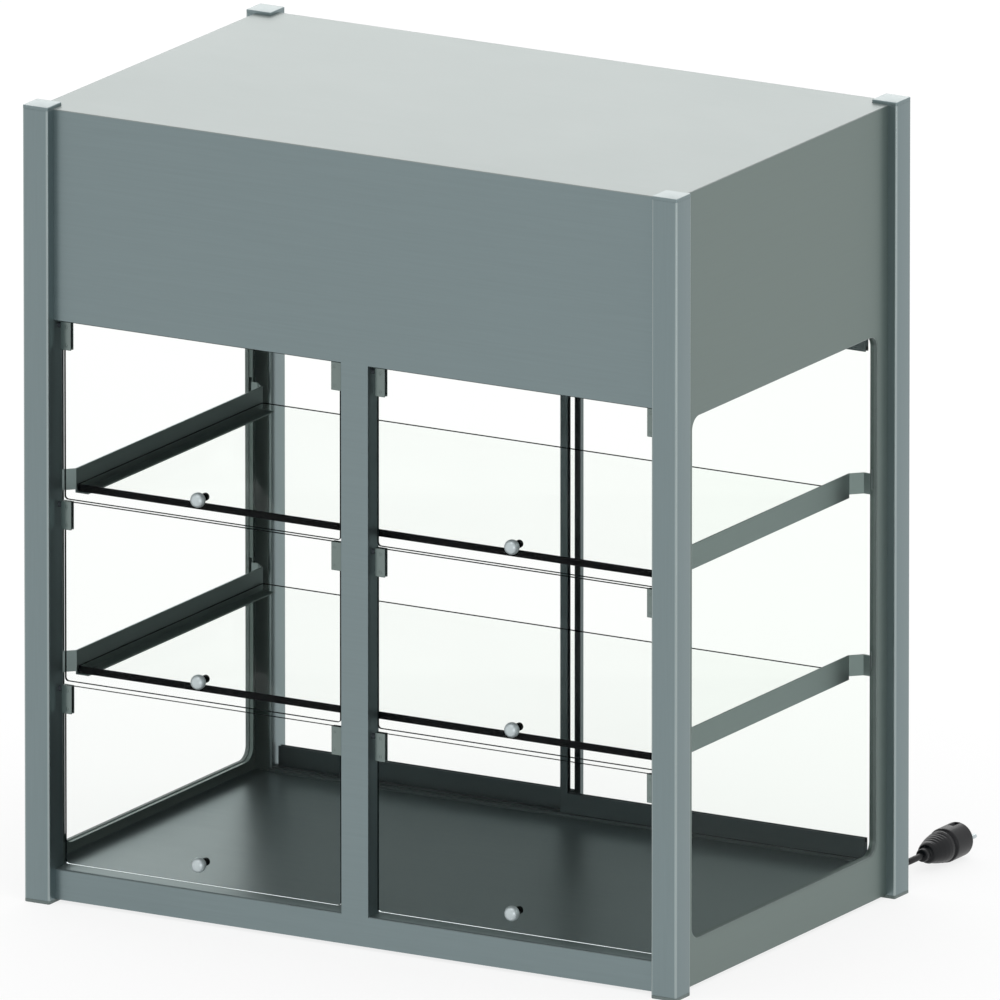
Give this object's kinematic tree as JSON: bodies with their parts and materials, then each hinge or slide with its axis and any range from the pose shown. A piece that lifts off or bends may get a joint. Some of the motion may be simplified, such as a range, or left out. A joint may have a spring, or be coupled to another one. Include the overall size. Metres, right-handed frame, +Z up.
{
  "type": "food display cabinet",
  "caption": "Countertop food display cabinet: clear flap doors, glass shelves, windowed sides, sliding rear doors and a closed hood with a lamp.",
  "frame": {"origin": "on the standing surface below the middle of the cabinet", "axes": "+Z up, +X to the right as seen from the front, the front faces -Y"},
  "size_m": [0.78, 0.659, 0.855],
  "materials": {
    "steel_panel": "satin stainless sheet",
    "steel_post": "satin stainless tube",
    "cap_plate": "bright satin",
    "steel_deck": "satin stainless sheet",
    "steel_rail": "satin stainless strip",
    "hinge_steel": "fine satin",
    "chrome": "polished",
    "door_profile": "dark anodised",
    "clear_glass": "clear",
    "shelf_glass": "clear with green edges",
    "clear_pane": "clear acrylic",
    "seal": "matte",
    "foot_plug": "matte",
    "bush_plastic": "natural nylon",
    "opal": "opal",
    "lamp_metal": "white powder coat",
    "driver_case": "matte",
    "terminal_plastic": "natural",
    "switch_plastic": "gloss",
    "cord_rubber": "semi-matte",
    "plug_plastic": "semi-gloss"
  },
  "bodies": {
    "cabinet": {"bottom_door_track": "door_profile", "cable_gland": "switch_plastic", "ceiling_panel": "steel_panel", "cord_coil": "cord_rubber", "cord_lead": "cord_rubber", "cord_tail": "cord_rubber", "deck_bearers": "steel_deck", "floor_deck": "steel_deck", "front_frame": "steel_panel", "hinge_bushes": "bush_plastic", "internal_wiring": "cord_rubber", "led_diffuser": "opal", "led_driver": "driver_case", "led_housing": "lamp_metal", "plug": "plug_plastic", "post_feet": "foot_plug", "post_front_left": "steel_post", "post_front_right": "steel_post", "post_rear_left": "steel_post", "post_rear_right": "steel_post", "post_top_caps": "cap_plate", "rail_screws": "chrome", "rear_base_rail": "steel_panel", "rear_hood_panel": "steel_panel", "shelf_glass_lower": "shelf_glass", "shelf_glass_upper": "shelf_glass", "shelf_rails_lower": "steel_rail", "shelf_rails_upper": "steel_rail", "side_glass_left": "clear_glass", "side_glass_right": "clear_glass", "side_glass_seals": "seal", "side_panel_left": "steel_panel", "side_panel_right": "steel_panel", "switch_body": "switch_plastic", "terminal_block": "terminal_plastic", "top_cover": "steel_panel", "top_door_track": "door_profile"},
    "flap_top_left": {"flap_pane_top_left": "clear_pane", "hinge_clamps_top_left": "hinge_steel", "flap_knob_top_left": "chrome"},
    "flap_top_right": {"flap_pane_top_right": "clear_pane", "hinge_clamps_top_right": "hinge_steel", "flap_knob_top_right": "chrome"},
    "flap_middle_left": {"flap_pane_middle_left": "clear_pane", "hinge_clamps_middle_left": "hinge_steel", "flap_knob_middle_left": "chrome"},
    "flap_middle_right": {"flap_pane_middle_right": "clear_pane", "hinge_clamps_middle_right": "hinge_steel", "flap_knob_middle_right": "chrome"},
    "flap_bottom_left": {"flap_pane_bottom_left": "clear_pane", "hinge_clamps_bottom_left": "hinge_steel", "flap_knob_bottom_left": "chrome"},
    "flap_bottom_right": {"flap_pane_bottom_right": "clear_pane", "hinge_clamps_bottom_right": "hinge_steel", "flap_knob_bottom_right": "chrome"},
    "rear_door_left": {"rear_door_frame_left": "door_profile", "rear_door_glass_left": "clear_glass"},
    "rear_door_right": {"rear_door_frame_right": "door_profile", "rear_door_glass_right": "clear_glass"},
    "rocker": {"switch_rocker": "switch_plastic"}
  },
  "joints": [
    {"name": "flap_top_left_swing", "type": "hinge", "parent": "cabinet", "child": "flap_top_left", "pos_m": [-0.1875, -0.22175, 0.6187], "axis": [-1, 0, 0], "range_deg": [0, 90]},
    {"name": "flap_top_right_swing", "type": "hinge", "parent": "cabinet", "child": "flap_top_right", "pos_m": [0.1875, -0.22175, 0.6187], "axis": [-1, 0, 0], "range_deg": [0, 90]},
    {"name": "flap_middle_left_swing", "type": "hinge", "parent": "cabinet", "child": "flap_middle_left", "pos_m": [-0.1875, -0.22175, 0.42615], "axis": [-1, 0, 0], "range_deg": [0, 90]},
    {"name": "flap_middle_right_swing", "type": "hinge", "parent": "cabinet", "child": "flap_middle_right", "pos_m": [0.1875, -0.22175, 0.42615], "axis": [-1, 0, 0], "range_deg": [0, 90]},
    {"name": "flap_bottom_left_swing", "type": "hinge", "parent": "cabinet", "child": "flap_bottom_left", "pos_m": [-0.1875, -0.22175, 0.22845], "axis": [-1, 0, 0], "range_deg": [0, 90]},
    {"name": "flap_bottom_right_swing", "type": "hinge", "parent": "cabinet", "child": "flap_bottom_right", "pos_m": [0.1875, -0.22175, 0.22845], "axis": [-1, 0, 0], "range_deg": [0, 90]},
    {"name": "rear_door_right_slide", "type": "slide", "parent": "cabinet", "child": "rear_door_right", "axis": [1, 0, 0], "range_m": [-0.33, 0]},
    {"name": "rear_door_left_slide", "type": "slide", "parent": "cabinet", "child": "rear_door_left", "axis": [1, 0, 0], "range_m": [0, 0.33]},
    {"name": "rocker_tilt", "type": "hinge", "parent": "cabinet", "child": "rocker", "pos_m": [0.3, 0.233, 0.76], "axis": [-1, 0, 0], "range_deg": [0, 18]}
  ]
}
